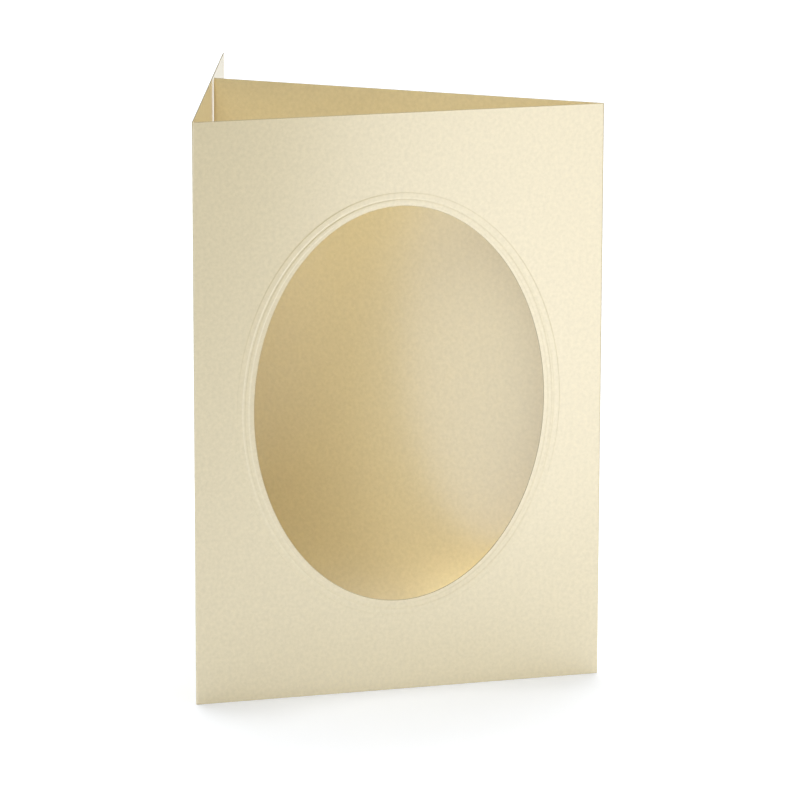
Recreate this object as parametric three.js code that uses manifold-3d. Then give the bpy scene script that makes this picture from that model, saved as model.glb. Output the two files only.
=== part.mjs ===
// A three-panel passe-partout card, folded from one sheet of pearly card and standing on its lower edges.
// Millimetres, +Z up. The window panel's mid-plane is Y = 0 and its front faces -Y. The origin is the middle
// of that panel's lower edge. The leaf turns back from its left side (-X), the backing flap from its right.
import * as THREE from "three";
import { mergeVertices } from "three/addons/utils/BufferGeometryUtils.js";
import Module from "manifold-3d";

// Sheet
const sheetThickness = 0.3;
const cardHeight = 168;

// Panels: the leaf closes over the window panel, and the backing flap is trimmed to fold in under it
const windowPanelWidth = 120;
const leafWidth = windowPanelWidth;
const flapTrim = 0.5;
const flapWidth = windowPanelWidth - flapTrim;

// Folds: the leaf's angle to the window panel, and how far the flap's free edge stands off the leaf
const leafAngle = THREE.MathUtils.degToRad(72);
const flapClearance = 0.3;
const foldInnerRadius = 0.2;
const foldSteps = 10;

// Free edges, a little rounded where the die has cut them
const cutEdgeRadius = 0.08;
const cutEdgeSteps = 3;

// Oval window, on the panel's middle line
const windowWidth = 85.5;
const windowHeight = 115;
const windowSteps = 120;

// Two raised beads pressed round the window. Each foot's distance out from the cut is given at the oval's
// side and at its top, because the pressed ovals are a little rounder than the cut one and a little off it.
const beadHeight = 0.06;
const beadFlankWidth = 0.5;
const innerBead = { side: [1.2, 2.65], top: [0.75, 2.1] };
const outerBead = { side: [3.0, 4.95], top: [2.25, 4.1] };
const beadShift = { across: -0.1, up: -0.2 };
const rimMargin = 1.2;

// Colour and finish of the card
const pearlIvory = 0xece2c4;
const pearlRoughness = 0.45;
const pearlMetalness = 0.2;

const halfThickness = sheetThickness / 2;
const foldOuterRadius = foldInnerRadius + sheetThickness;

const wasm = await Module();
wasm.setup();

// A closed three.js geometry as a solid that can be cut and joined.
function solidOf(geometry) {
  geometry.deleteAttribute("normal");
  geometry.deleteAttribute("uv");
  const merged = mergeVertices(geometry, 1e-4);
  return new wasm.Manifold(
    new wasm.Mesh({
      numProp: 3,
      vertProperties: merged.attributes.position.array,
      triVerts: new Uint32Array(merged.index.array),
    }),
  );
}

// A cut and joined solid as a three.js geometry.
function geometryOf(solid) {
  const mesh = solid.getMesh();
  const geometry = new THREE.BufferGeometry();
  geometry.setAttribute("position", new THREE.BufferAttribute(mesh.vertProperties, mesh.numProp));
  geometry.setIndex(new THREE.BufferAttribute(mesh.triVerts, 1));
  const faceted = geometry.toNonIndexed();
  faceted.computeVertexNormals();
  return faceted;
}

// A panel seen from above, turned back from one side of the window panel (-1 left, +1 right). Its fold bends
// round a centre just inside the corner. "along" runs to the free edge and "outward" to its outer face.
function turnedPanel(side, width, turn) {
  return {
    side,
    turn,
    centre: new THREE.Vector2(side * (windowPanelWidth / 2 - foldOuterRadius), halfThickness + foldInnerRadius),
    along: new THREE.Vector2(side * Math.cos(turn), Math.sin(turn)),
    outward: new THREE.Vector2(side * Math.sin(turn), -Math.cos(turn)),
    straight: width - foldOuterRadius,
  };
}

// A point of a panel, a distance along it from its fold and a distance outward from the fold's centre.
function pointOn(panel, distance, height) {
  return panel.centre.clone().addScaledVector(panel.along, distance).addScaledVector(panel.outward, height);
}

// The backing flap, turned until its free edge stands one clearance off the leaf's inner face. Its distance
// from that face is a cosine of the turn. A flap too narrow to reach the leaf stands square to it.
function flapAgainst(leaf) {
  const inward = leaf.outward.clone().negate();
  const flap = turnedPanel(1, flapWidth, 0);
  const start = flap.centre.clone().sub(pointOn(leaf, 0, foldInnerRadius)).dot(inward);
  const cosinePart = flap.straight * inward.x - foldInnerRadius * inward.y;
  const sinePart = flap.straight * inward.y + foldInnerRadius * inward.x;
  const reach = Math.hypot(cosinePart, sinePart);
  const towards = THREE.MathUtils.clamp((flapClearance - start) / reach, -1, 1);
  return turnedPanel(1, flapWidth, Math.atan2(sinePart, cosinePart) + Math.acos(towards));
}

// One face of a turned panel from the window panel round its fold to its free edge, as a line of points.
function panelFace(panel, radius, intoSheet) {
  const first = -Math.PI / 2;
  const fold = Array.from({ length: foldSteps + 1 }, (unused, i) => {
    const angle = first + panel.side * panel.turn * (i / foldSteps);
    return new THREE.Vector2(Math.cos(angle), Math.sin(angle)).multiplyScalar(radius).add(panel.centre);
  });
  const edge = Array.from({ length: cutEdgeSteps + 1 }, (unused, i) => {
    const angle = (Math.PI / 2) * (i / cutEdgeSteps);
    const back = cutEdgeRadius * (1 - Math.sin(angle));
    const down = cutEdgeRadius * (1 - Math.cos(angle));
    return pointOn(panel, panel.straight - back, radius + intoSheet * down);
  });
  return [...fold, ...edge];
}

// The folded sheet before its window is cut: its section from above, carried up to the card's height.
function foldedSheet() {
  const leaf = turnedPanel(-1, leafWidth, Math.PI - leafAngle);
  const flap = flapAgainst(leaf);
  const section = new THREE.Shape([
    ...panelFace(leaf, foldOuterRadius, -1).toReversed(),
    ...panelFace(flap, foldOuterRadius, -1),
    ...panelFace(flap, foldInnerRadius, 1).toReversed(),
    ...panelFace(leaf, foldInnerRadius, 1),
  ]);
  return new THREE.ExtrudeGeometry(section, { depth: cardHeight, bevelEnabled: false });
}

// A form drawn lying flat with its front up, stood in the window panel with its middle at the window's.
function stoodUp(geometry) {
  return geometry.rotateX(Math.PI / 2).translate(0, 0, cardHeight / 2);
}

// A point of an oval that runs a distance outside the window's cut, given at its side and at its top.
function ovalPoint(turnShare, out, shift) {
  const angle = 2 * Math.PI * turnShare;
  return new THREE.Vector2(
    (windowWidth / 2 + out.side) * Math.cos(angle) + shift.across,
    (windowHeight / 2 + out.top) * Math.sin(angle) + shift.up,
  );
}

// The oval prism that clears the rim's place in the sheet.
function rimPlace(out) {
  const unshifted = { across: 0, up: 0 };
  const outline = Array.from({ length: windowSteps }, (unused, i) => ovalPoint(i / windowSteps, out, unshifted));
  const depth = 3 * sheetThickness;
  const prism = new THREE.ExtrudeGeometry(new THREE.Shape(outline), { depth, bevelEnabled: false });
  return stoodUp(prism.translate(0, 0, -depth / 2));
}

// The lines of one bead across the sheet: foot, crest, crest and foot.
function beadLines(bead) {
  const line = (side, top, lift) => ({ out: { side, top }, lift, shift: beadShift });
  return [
    line(bead.side[0], bead.top[0], 0),
    line(bead.side[0] + beadFlankWidth, bead.top[0] + beadFlankWidth, beadHeight),
    line(bead.side[1] - beadFlankWidth, bead.top[1] - beadFlankWidth, beadHeight),
    line(bead.side[1], bead.top[1], 0),
  ];
}

// The rim round the window: a ring of the sheet with both beads pressed up through it. Its section runs in
// along the front face, over the rounded cut and out along the rear face, and is carried round the oval.
function embossedRim(rimOut) {
  const unshifted = { across: 0, up: 0 };
  const across = [
    ...beadLines(innerBead),
    ...beadLines(outerBead),
    { out: rimOut, lift: 0, shift: unshifted },
  ];
  const face = (height) => across.map((line) => ({ ...line, height: height + line.lift }));
  const cut = (out, height) => ({ out: { side: out, top: out }, height, shift: unshifted });
  const section = [
    ...face(halfThickness).toReversed(),
    cut(cutEdgeRadius, halfThickness),
    cut(0, halfThickness - cutEdgeRadius),
    cut(0, cutEdgeRadius - halfThickness),
    cut(cutEdgeRadius, -halfThickness),
    ...face(-halfThickness),
  ];
  const closed = [...section, section[0]];
  const ring = new THREE.LatheGeometry(closed.map((line) => new THREE.Vector2(1, line.height)), windowSteps);
  const position = ring.getAttribute("position");
  for (let i = 0; i < position.count; i += 1) {
    const line = closed[i % closed.length];
    const turnShare = (Math.floor(i / closed.length) % windowSteps) / windowSteps;
    const point = ovalPoint(turnShare, line.out, line.shift);
    position.setXYZ(i, point.x, point.y, line.height);
  }
  return stoodUp(ring);
}

// The card: the folded sheet with the rim's place cleared, and the embossed rim joined flush into it.
function foldedCard() {
  const rimOut = { side: outerBead.side[1] + rimMargin, top: outerBead.top[1] + rimMargin };
  const clearedOut = { side: rimOut.side - rimMargin / 2, top: rimOut.top - rimMargin / 2 };
  const sheet = solidOf(foldedSheet()).subtract(solidOf(rimPlace(clearedOut)));
  const card = sheet.add(solidOf(embossedRim(rimOut)));
  const material = new THREE.MeshStandardMaterial({
    color: pearlIvory,
    roughness: pearlRoughness,
    metalness: pearlMetalness,
  });
  const mesh = new THREE.Mesh(geometryOf(card), material);
  mesh.name = "folded_card";
  return mesh;
}

const passePartoutCard = new THREE.Group();
passePartoutCard.add(foldedCard());

export default passePartoutCard;
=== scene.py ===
"""A passe-partout card: one sheet of ivory pearl card, folded twice round an oval window with embossed beads.

The card stands half open on its lower edges. The window panel faces -Y, the leaf turns back from its left
side and the backing flap from its right, until its free edge stands just off the leaf. Sizes in the classes
are millimetres.
"""

import logging
import math
from collections.abc import Callable, Iterator
from contextlib import contextmanager
from dataclasses import dataclass, field
from enum import Enum, IntEnum

import bmesh
import bpy
from mathutils import Matrix, Vector


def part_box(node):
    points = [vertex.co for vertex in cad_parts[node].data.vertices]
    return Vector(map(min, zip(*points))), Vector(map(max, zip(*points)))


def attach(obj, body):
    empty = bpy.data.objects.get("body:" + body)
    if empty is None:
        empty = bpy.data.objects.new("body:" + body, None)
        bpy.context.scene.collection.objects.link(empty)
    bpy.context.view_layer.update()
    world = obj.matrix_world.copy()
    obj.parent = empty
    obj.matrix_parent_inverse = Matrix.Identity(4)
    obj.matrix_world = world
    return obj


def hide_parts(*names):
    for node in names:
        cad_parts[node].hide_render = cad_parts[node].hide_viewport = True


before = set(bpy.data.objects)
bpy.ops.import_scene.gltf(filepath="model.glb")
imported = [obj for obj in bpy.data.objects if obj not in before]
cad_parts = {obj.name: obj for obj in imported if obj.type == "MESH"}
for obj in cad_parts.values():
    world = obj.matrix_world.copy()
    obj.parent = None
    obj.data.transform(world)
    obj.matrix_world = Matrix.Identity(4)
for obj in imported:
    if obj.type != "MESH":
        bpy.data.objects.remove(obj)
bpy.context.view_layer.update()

CARD_NODE = "folded_card"
MILLIMETRE = 0.001
SAME_POINT = 0.001 * MILLIMETRE
ON_FOLD = 0.01 * MILLIMETRE
WHITE = (1.0, 1.0, 1.0, 1.0)

log = logging.getLogger("passe_partout_card")


class Side(Enum):
    """The side of the window panel that a panel is folded back from."""

    LEFT = -1
    RIGHT = 1


class Slot(IntEnum):
    """The sheet's material slots. Each kind of face is followed by what its cut edge shows."""

    FACE = 0
    FACE_CUT = 1
    # The strip beside each free edge, with a painted highlight in a paler matt colour.
    STRIP = 2
    STRIP_CUT = 3


def metres(*lengths: float) -> Vector:
    """A point or a length in millimetres, in metres."""
    return Vector(lengths) * MILLIMETRE


def linear(colour: str) -> tuple[float, float, float, float]:
    """An sRGB colour as the linear values that shaders take.

    Args:
        colour: The colour as a hex string of six digits.

    Returns:
        Linear red, green, blue and an alpha of 1.
    """
    channels = [int(colour[i : i + 2], 16) / 255 for i in (0, 2, 4)]
    curve = [c / 12.92 if c <= 0.04045 else ((c + 0.055) / 1.055) ** 2.4 for c in channels]
    return (*curve, 1.0)


def add_node(
    tree: bpy.types.NodeTree,
    kind: str,
    settings: dict[str, object] | None = None,
    values: dict[str, object] | None = None,
    links: dict[str, bpy.types.NodeSocket] | None = None,
) -> bpy.types.Node:
    """Adds one node to a tree.

    Args:
        tree: The tree that gets the node.
        kind: The node's Blender type.
        settings: Its own properties by name.
        values: Constants for its inputs by name.
        links: Output sockets that feed its inputs by name.

    Returns:
        The new node.
    """
    node = tree.nodes.new(kind)
    for name, value in (settings or {}).items():
        setattr(node, name, value)
    for name, value in (values or {}).items():
        node.inputs[name].default_value = value
    for name, socket in (links or {}).items():
        tree.links.new(socket, node.inputs[name])
    return node


@contextmanager
def editing(piece: bpy.types.Object) -> Iterator[None]:
    """Opens a piece in edit mode with nothing selected, and closes it afterwards.

    Args:
        piece: The mesh object to edit.

    Yields:
        Nothing: the operators in the block act on the piece.
    """
    bpy.ops.object.select_all(action="DESELECT")
    piece.select_set(True)
    bpy.context.view_layer.objects.active = piece
    bpy.ops.object.mode_set(mode="EDIT")
    bpy.ops.mesh.select_mode(type="EDGE")
    bpy.ops.mesh.select_all(action="DESELECT")
    yield
    bpy.ops.object.mode_set(mode="OBJECT")


def select_edges(piece: bpy.types.Object, wanted: Callable[[Vector], bool]) -> None:
    """Selects the edges of a piece in edit mode whose two ends are both wanted, and nothing else.

    Args:
        piece: The mesh object being edited.
        wanted: Says whether a point belongs to the selection.
    """
    work = bmesh.from_edit_mesh(piece.data)
    chosen = {vertex.index for vertex in work.verts if wanted(vertex.co)}
    for face in work.faces:
        face.select_set(False)
    for edge in work.edges:
        edge.select_set(all(vertex.index in chosen for vertex in edge.verts))
    bmesh.update_edit_mesh(piece.data)


@dataclass(frozen=True)
class PearlCoatedCard:
    """Ivory card with a coating of mica flakes, which have a high index of refraction.

    The flakes lie nearly flat in a thin clear layer. To the eye that is a warm matt ivory under a broad,
    white and silky sheen, with a fine mottle where the coating lies thicker or thinner on the fibres.
    """

    name: str = "pearl_coated_card"
    ivory: str = "E5D5A7"
    paper_roughness: float = 0.6
    flake_cover: float = 1.0
    flake_ior: float = 2.6
    flake_roughness: float = 0.27
    mottle_period: float = 1.1
    mottle_share: float = 0.048
    mottle_detail: float = 2.0
    mottle_range: tuple[float, float] = (0.3, 0.7)
    fibre_period: float = 0.7
    fibre_relief: float = 0.005
    fibre_detail: float = 3.0
    noise_roughness: float = 0.6

    def material(self) -> bpy.types.Material:
        """The coated card's material."""
        material = bpy.data.materials.new(self.name)
        material.use_nodes = True
        tree = material.node_tree
        tree.nodes.clear()
        place = add_node(tree, "ShaderNodeTexCoord").outputs["Object"]
        mottle = add_node(
            tree,
            "ShaderNodeTexNoise",
            values={
                "Scale": 1 / (self.mottle_period * MILLIMETRE),
                "Detail": self.mottle_detail,
                "Roughness": self.noise_roughness,
            },
            links={"Vector": place},
        ).outputs["Fac"]
        shade = add_node(
            tree,
            "ShaderNodeMapRange",
            values={
                "From Min": self.mottle_range[0],
                "From Max": self.mottle_range[1],
                "To Min": 1 - self.mottle_share,
                "To Max": 1 + self.mottle_share,
            },
            links={"Value": mottle},
        ).outputs["Result"]
        colour = add_node(
            tree,
            "ShaderNodeVectorMath",
            settings={"operation": "SCALE"},
            links={"Scale": shade},
        )
        colour.inputs["Vector"].default_value = linear(self.ivory)[:3]
        fibres = add_node(
            tree,
            "ShaderNodeTexNoise",
            values={
                "Scale": 1 / (self.fibre_period * MILLIMETRE),
                "Detail": self.fibre_detail,
                "Roughness": self.noise_roughness,
            },
            links={"Vector": place},
        ).outputs["Fac"]
        relief = add_node(
            tree,
            "ShaderNodeBump",
            values={"Strength": 1.0, "Distance": self.fibre_relief * MILLIMETRE},
            links={"Height": fibres},
        ).outputs["Normal"]
        shader = add_node(
            tree,
            "ShaderNodeBsdfPrincipled",
            values={
                "Roughness": self.paper_roughness,
                "Coat Weight": self.flake_cover,
                "Coat IOR": self.flake_ior,
                "Coat Roughness": self.flake_roughness,
            },
            links={"Base Color": colour.outputs["Vector"], "Normal": relief, "Coat Normal": relief},
        )
        add_node(tree, "ShaderNodeOutputMaterial", links={"Surface": shader.outputs["BSDF"]})
        return material


@dataclass(frozen=True)
class MattFinish:
    """A matt surface in one colour."""

    name: str
    colour: str
    roughness: float
    specular_level: float

    def material(self) -> bpy.types.Material:
        """The finish's material."""
        material = bpy.data.materials.new(self.name)
        material.use_nodes = True
        shader = material.node_tree.nodes["Principled BSDF"]
        shader.inputs["Base Color"].default_value = linear(self.colour)
        shader.inputs["Roughness"].default_value = self.roughness
        shader.inputs["Specular IOR Level"].default_value = self.specular_level
        return material


@dataclass(frozen=True)
class BareCore(MattFinish):
    """The card's bare core, where the die has cut it. It is matt, greyer and darker than the coated faces."""

    name: str = "bare_card_core"
    colour: str = "857E6A"
    roughness: float = 0.9
    specular_level: float = 0.1


@dataclass(frozen=True)
class PaintedHighlightStrip(MattFinish):
    """The strip beside each free edge, coloured a paler matt ivory without the pearl coat: a painted
    highlight.
    """

    name: str = "painted_highlight_strip"
    colour: str = "DCC99C"
    roughness: float = 0.8
    specular_level: float = 0.1
    width: float = 0.55


@dataclass
class Bead:
    """One raised bead round the window. Its feet are distances from the cut, at the oval's side and top."""

    side_feet: tuple[float, float]
    top_feet: tuple[float, float]
    height: float = 0.075
    flank_width: float = 0.36
    flank_steps: int = 4

    def lines(self) -> list[tuple[float, float, float]]:
        """The bead's lines from its inner foot to its outer one.

        Returns:
            Distance out at the side, distance out at the top, and height, for each line.
        """
        shares = [i / self.flank_steps for i in range(self.flank_steps + 1)]
        runs = [share * self.flank_width for share in shares]
        rises = [self.height * (1 - math.cos(math.pi * share)) / 2 for share in shares]
        inner = [(self.side_feet[0] + run, self.top_feet[0] + run, rise) for run, rise in zip(runs, rises)]
        outer = [(self.side_feet[1] - run, self.top_feet[1] - run, rise) for run, rise in zip(runs, rises)]
        return [*inner, *reversed(outer)]


@dataclass
class FoldedSheet:
    """The card's one sheet: window panel, leaf and backing flap, all folded from one piece."""

    panel_width: float = (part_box(CARD_NODE)[1].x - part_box(CARD_NODE)[0].x) / MILLIMETRE
    height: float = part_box(CARD_NODE)[1].z / MILLIMETRE
    thickness: float = 0.3
    flap_trim: float = 0.5
    leaf_angle: float = math.radians(72)
    flap_clearance: float = 0.3
    fold_inner_radius: float = 0.2
    fold_steps: int = 10
    cut_edge_radius: float = 0.08
    cut_edge_steps: int = 3
    cut_edge_angle: float = math.radians(50)
    smooth_angle: float = math.radians(40)
    window_width: float = 85.5
    window_height: float = 115.0
    window_steps: int = 256
    inner_bead: Bead = field(default_factory=lambda: Bead((1.2, 2.65), (0.75, 2.1)))
    outer_bead: Bead = field(default_factory=lambda: Bead((3.0, 4.95), (2.25, 4.1)))
    bead_shift: tuple[float, float] = (-0.1, -0.2)
    rim_margin: float = 1.2

    @property
    def fold_radius(self) -> float:
        """The radius of the middle of the sheet round a fold."""
        return self.fold_inner_radius + self.thickness / 2

    @property
    def fold_place(self) -> float:
        """How far from the panel's middle line the straight sheet ends and a fold begins."""
        return self.panel_width / 2 - self.fold_inner_radius - self.thickness

    def along(self, side: Side, turn: float) -> Vector:
        """The direction from a fold to the free edge of a panel that is turned back by an angle."""
        return Vector((side.value * math.cos(turn), math.sin(turn), 0))

    def outward(self, side: Side, turn: float) -> Vector:
        """The direction that the outer face of a turned panel faces."""
        return Vector((side.value * math.sin(turn), -math.cos(turn), 0))

    def flap_turn(self) -> float:
        """The turn that brings the flap's free edge one clearance off the leaf's inner face.

        Returns:
            The angle in radians that the flap is folded back from the window panel's own plane.
        """
        leaf_turn = math.pi - self.leaf_angle
        inward = -self.outward(Side.LEFT, leaf_turn)
        straight = self.panel_width - self.flap_trim - self.fold_inner_radius - self.thickness
        start = 2 * self.fold_place * inward.x + self.fold_inner_radius
        cosine_part = straight * inward.x - self.fold_inner_radius * inward.y
        sine_part = straight * inward.y + self.fold_inner_radius * inward.x
        towards = (self.flap_clearance - start) / math.hypot(cosine_part, sine_part)
        return math.atan2(sine_part, cosine_part) + math.acos(towards)

    def stamp_rim(self) -> None:
        """Draws the rim out from the window's cut, ring by ring over both beads.

        It works in edit mode, from the selected ring of the cut, and leaves the rim's outermost ring selected.
        """
        middle = Vector((0, 0, self.height / 2))
        across, up = self.bead_shift
        last_side, last_top, _ = self.outer_bead.lines()[-1]
        shifted = [(line, Vector((across, -line[2], up))) for line in self.rim_lines()]
        plain = ((last_side + self.rim_margin, last_top + self.rim_margin, 0.0), Vector((0, 0, 0)))
        width, height, place = self.window_width / 2, self.window_height / 2, Vector((0, 0, 0))
        for (side, top, _), target in [*shifted, plain]:
            new_width, new_height = self.window_width / 2 + side, self.window_height / 2 + top
            bpy.ops.mesh.extrude_edges_indiv()
            bpy.ops.transform.resize(
                value=(new_width / width, 1, new_height / height),
                center_override=metres(*(middle + place)),
            )
            bpy.ops.transform.translate(value=metres(*(target - place)))
            width, height, place = new_width, new_height, target

    def rim_lines(self) -> list[tuple[float, float, float]]:
        """The lines of both beads, from the cut outwards."""
        return [*self.inner_bead.lines(), *self.outer_bead.lines()]

    def window_panel(self) -> bpy.types.Object:
        """The window panel's middle surface, up to where its folds begin.

        Returns:
            A mesh object with the oval opening, its embossed rim and the flat panel round it.
        """
        bpy.ops.object.select_all(action="DESELECT")
        bpy.ops.mesh.primitive_circle_add(
            vertices=self.window_steps,
            radius=self.window_height / 2 * MILLIMETRE,
            location=metres(0, 0, self.height / 2),
            rotation=(math.pi / 2, 0, 0),
        )
        piece = bpy.context.active_object
        bpy.ops.object.transform_apply(location=True, rotation=True, scale=True)
        with editing(piece):
            bpy.ops.mesh.select_all(action="SELECT")
            bpy.ops.transform.resize(
                value=(self.window_width / self.window_height, 1, 1),
                center_override=metres(0, 0, self.height / 2),
            )
            self.stamp_rim()
            self.add_outline(piece)
        return piece

    def add_outline(self, piece: bpy.types.Object) -> None:
        """Adds the panel's straight outline and joins the rim to it.

        Args:
            piece: The object that holds the rim, in edit mode with only the rim's outermost ring selected.
        """
        work = bmesh.from_edit_mesh(piece.data)
        ring = [edge for edge in work.edges if edge.select]
        before = set(work.edges)
        half_width, top = self.fold_place * MILLIMETRE, self.height * MILLIMETRE
        places = ((-half_width, 0), (half_width, 0), (half_width, top), (-half_width, top))
        corners = [work.verts.new((x, 0, z)) for x, z in places]
        for first, second in zip(corners, [*corners[1:], corners[0]]):
            work.edges.new((first, second))
        for edge in work.edges:
            edge.select_set(edge not in before)
        bmesh.update_edit_mesh(piece.data)
        bpy.ops.mesh.subdivide(number_cuts=self.window_steps // len(corners) - 1)
        work = bmesh.from_edit_mesh(piece.data)
        for edge in ring:
            edge.select_set(True)
        bmesh.update_edit_mesh(piece.data)
        bpy.ops.mesh.bridge_edge_loops()

    def fold_back(
        self, piece: bpy.types.Object, side: Side, turn: float, width: float, shoulder: float
    ) -> None:
        """Folds one outer panel back from the window panel.

        Args:
            piece: The object that holds the window panel.
            side: The side that the panel is folded from.
            turn: The angle that it is folded back by, in radians.
            width: The panel's width from its fold's outside to its free edge.
            shoulder: The width of the strip along its free edge that carries the painted highlight.
        """
        place = side.value * self.fold_place * MILLIMETRE
        with editing(piece):
            select_edges(piece, lambda point: abs(point.x - place) < ON_FOLD)
            bpy.ops.mesh.spin(
                steps=self.fold_steps,
                angle=-side.value * turn,
                center=metres(side.value * self.fold_place, self.fold_radius, 0),
                axis=(0, 0, 1),
            )
            straight = width - self.fold_inner_radius - self.thickness - shoulder
            # The last strip before the free edge gets the paler colour of the painted highlight.
            for length, slot in ((straight, Slot.FACE), (shoulder, Slot.STRIP)):
                bpy.ops.mesh.extrude_edges_indiv()
                bpy.ops.transform.translate(value=metres(*(self.along(side, turn) * length)))
                self.mark_strip(piece, slot)

    @staticmethod
    def mark_strip(piece: bpy.types.Object, slot: Slot) -> None:
        """Gives the strip that ends at the selected edges its material.

        Args:
            piece: The object in edit mode, with only the strip's free edges selected.
            slot: The material slot that the strip gets.
        """
        work = bmesh.from_edit_mesh(piece.data)
        strip = {face for edge in work.edges if edge.select for face in edge.link_faces}
        for face in strip:
            face.material_index = slot
        bmesh.update_edit_mesh(piece.data)

    def thicken(self, piece: bpy.types.Object) -> None:
        """Gives the folded middle surface its thickness and rounds its cut edges.

        Args:
            piece: The object that holds the folded surface.
        """
        with editing(piece):
            bpy.ops.mesh.select_all(action="SELECT")
            bpy.ops.mesh.remove_doubles(threshold=SAME_POINT)
            bpy.ops.mesh.normals_make_consistent(inside=False)
        wall = piece.modifiers.new("wall", "SOLIDIFY")
        wall.thickness = self.thickness * MILLIMETRE
        wall.offset = 0
        wall.use_even_offset = True
        wall.material_offset_rim = Slot.FACE_CUT - Slot.FACE
        bevel = piece.modifiers.new("cut_edge", "BEVEL")
        bevel.width = self.cut_edge_radius * MILLIMETRE
        bevel.segments = self.cut_edge_steps
        bevel.limit_method = "ANGLE"
        bevel.angle_limit = self.cut_edge_angle
        bevel.use_clamp_overlap = False
        even = piece.modifiers.new("even_shading", "WEIGHTED_NORMAL")
        even.mode = "FACE_AREA"
        even.keep_sharp = True
        for modifier in ("wall", "cut_edge"):
            bpy.ops.object.modifier_apply(modifier=modifier)
        bpy.ops.object.shade_smooth_by_angle(angle=self.smooth_angle)
        bpy.ops.object.modifier_apply(modifier="even_shading")

    def build(self, coated: PearlCoatedCard, core: BareCore, shoulder: PaintedHighlightStrip) -> bpy.types.Object:
        """Builds and dresses the sheet.

        Args:
            coated: The finish of its faces.
            core: The finish of its cut edges.
            shoulder: The paler matt colour of the strips beside its free edges, a painted highlight.

        Returns:
            The finished mesh object.
        """
        piece = self.window_panel()
        piece.name = "folded_pearl_sheet"
        # The strips beside the free edges get a paler matt colour, a painted highlight.
        face, cut, strip = coated.material(), core.material(), shoulder.material()
        dress = {Slot.FACE: face, Slot.FACE_CUT: cut, Slot.STRIP: strip, Slot.STRIP_CUT: cut}
        for slot in Slot:
            piece.data.materials.append(dress[slot])
        flap_width = self.panel_width - self.flap_trim
        self.fold_back(piece, Side.LEFT, math.pi - self.leaf_angle, self.panel_width, shoulder.width)
        self.fold_back(piece, Side.RIGHT, self.flap_turn(), flap_width, shoulder.width)
        self.thicken(piece)
        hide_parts(CARD_NODE)
        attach(piece, "root")
        return piece


@dataclass(frozen=True)
class LightTable(MattFinish):
    """The floor's white matt sheet, lit a little from below."""

    name: str = "studio_floor"
    colour: str = "E8EBEF"
    roughness: float = 1.0
    specular_level: float = 0.0
    glow: float = 0.25

    def material(self) -> bpy.types.Material:
        """The floor's material."""
        material = super().material()
        shader = material.node_tree.nodes["Principled BSDF"]
        shader.inputs["Emission Color"].default_value = WHITE
        shader.inputs["Emission Strength"].default_value = self.glow
        return material


@dataclass(frozen=True)
class SoftBox:
    """A studio light. Its place, width and height are in millimetres, its power is in watts."""

    name: str
    place: tuple[float, float, float]
    facing: tuple[float, float, float]
    width: float
    height: float
    power: float

    def hang(self) -> bpy.types.Object:
        """Hangs the light in the studio. It lights the card, and the camera doesn't see it.

        Returns:
            The light's object.
        """
        lamp = bpy.data.lights.new(self.name, "AREA")
        lamp.shape = "RECTANGLE"
        lamp.size, lamp.size_y = self.width * MILLIMETRE, self.height * MILLIMETRE
        lamp.energy = self.power
        box = bpy.data.objects.new(self.name, lamp)
        box.location = metres(*self.place)
        box.rotation_euler = Vector(self.facing).to_track_quat("-Z", "Y").to_euler()
        box.visible_camera = False
        bpy.context.scene.collection.objects.link(box)
        return box


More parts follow.
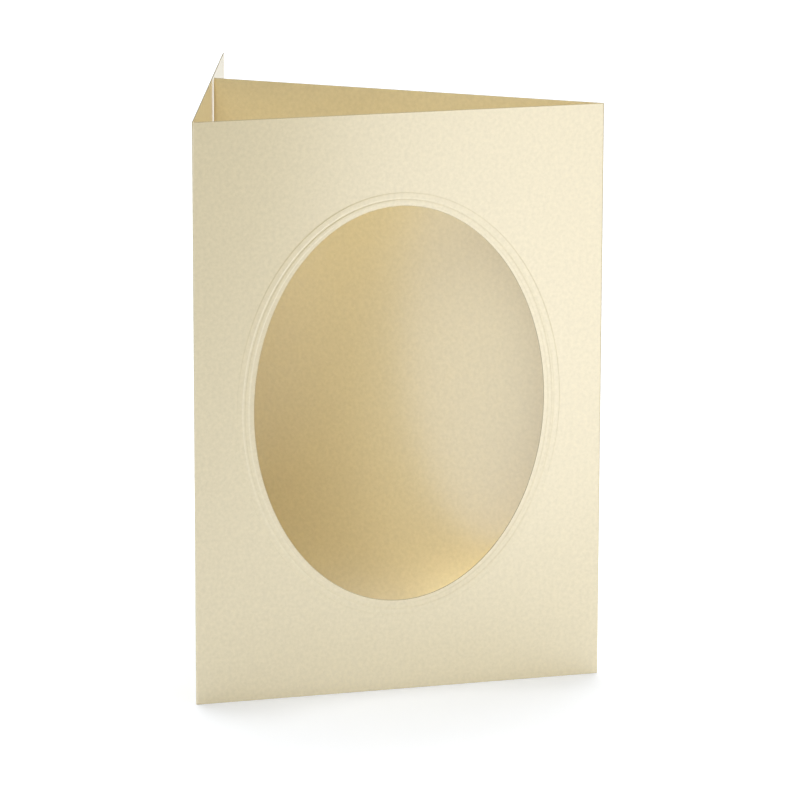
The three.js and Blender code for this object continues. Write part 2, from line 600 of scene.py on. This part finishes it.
@dataclass
class Studio:
    """The pale floor, the soft lights and the camera."""

    floor_side: float = 12000.0
    floor_finish: LightTable = LightTable()
    sky_strength: float = 0.03
    boxes: tuple[SoftBox, ...] = (
        SoftBox("key_high", (-360, -480, 700), (0.36, 0.48, -0.6), 400, 400, 1.65),
        SoftBox("key_low", (-420, -600, 180), (0.35, 0.6, 0), 350, 340, 0.6),
        SoftBox("over_card", (45, 40, 450), (0, 0, -1), 250, 250, 0.85),
        SoftBox("floor_flood", (-50, 1100, 1000), (0, 0, -1), 1500, 1800, 23.5),
        SoftBox("back_fill", (400, 250, 300), (-1, -0.2, -0.3), 250, 250, 0.12),
        SoftBox("sheen_strip", (82, -150, 158), (0, 1, 0), 136, 310, 0.082),
        SoftBox("sheen_box", (200, -300, 135), (0, 1, 0), 240, 260, 0.13),
        SoftBox("inner_bounce", (27, 13, 2), (0.2, 0.3, 0.9), 20, 20, 0.009),
        SoftBox("inner_top", (44, 9, 225), (0, 0.1, -1), 30, 30, 0.016),
    )
    camera_place: tuple[float, float, float] = (-368.7, -1293.1, 404.0)
    camera_yaw: float = math.radians(15.915)
    camera_pitch: float = math.radians(13.331)
    camera_roll: float = math.radians(0.144)
    camera_lens: float = 219.1
    camera_sensor: float = 36.0
    camera_reach: float = 100000.0

    def floor(self) -> bpy.types.Object:
        """The white matt floor, a light table that glows a little from below."""
        bpy.ops.object.select_all(action="DESELECT")
        bpy.ops.mesh.primitive_plane_add(size=self.floor_side * MILLIMETRE)
        floor = bpy.context.active_object
        floor.name = "studio_floor"
        floor.data.materials.append(self.floor_finish.material())
        return floor

    def camera(self) -> bpy.types.Object:
        """The camera, a long way off with a long lens, as the photograph shows the card."""
        lens = bpy.data.cameras.new("camera")
        lens.lens = self.camera_lens
        lens.sensor_width = self.camera_sensor
        lens.clip_end = self.camera_reach * MILLIMETRE
        camera = bpy.data.objects.new("camera", lens)
        bpy.context.scene.collection.objects.link(camera)
        yaw = Matrix.Rotation(-self.camera_yaw, 4, "Z")
        pitch = Matrix.Rotation(math.pi / 2 - self.camera_pitch, 4, "X")
        roll = Matrix.Rotation(self.camera_roll, 4, "Z")
        camera.matrix_world = Matrix.Translation(metres(*self.camera_place)) @ yaw @ pitch @ roll
        bpy.context.scene.camera = camera
        return camera

    def sky(self) -> None:
        """The faint even light from all round."""
        world = bpy.data.worlds.new("studio")
        world.use_nodes = True
        background = world.node_tree.nodes["Background"]
        background.inputs["Color"].default_value = WHITE
        background.inputs["Strength"].default_value = self.sky_strength
        bpy.context.scene.world = world

    def build(self) -> None:
        """Sets up the floor, the light and the camera."""
        self.floor()
        self.sky()
        for box in self.boxes:
            box.hang()
        self.camera()
        bpy.context.scene.view_settings.view_transform = "Standard"
        bpy.context.scene.view_settings.look = "None"


def main() -> None:
    """Builds the studio and the card, and reports each piece."""
    logging.basicConfig(level=logging.INFO, format="%(message)s")
    Studio().build()
    log.info("studio ready")
    card = FoldedSheet().build(PearlCoatedCard(), BareCore(), PaintedHighlightStrip())
    log.info("%s: %d faces", card.name, len(card.data.polygons))


if __name__ == "__main__":
    main()
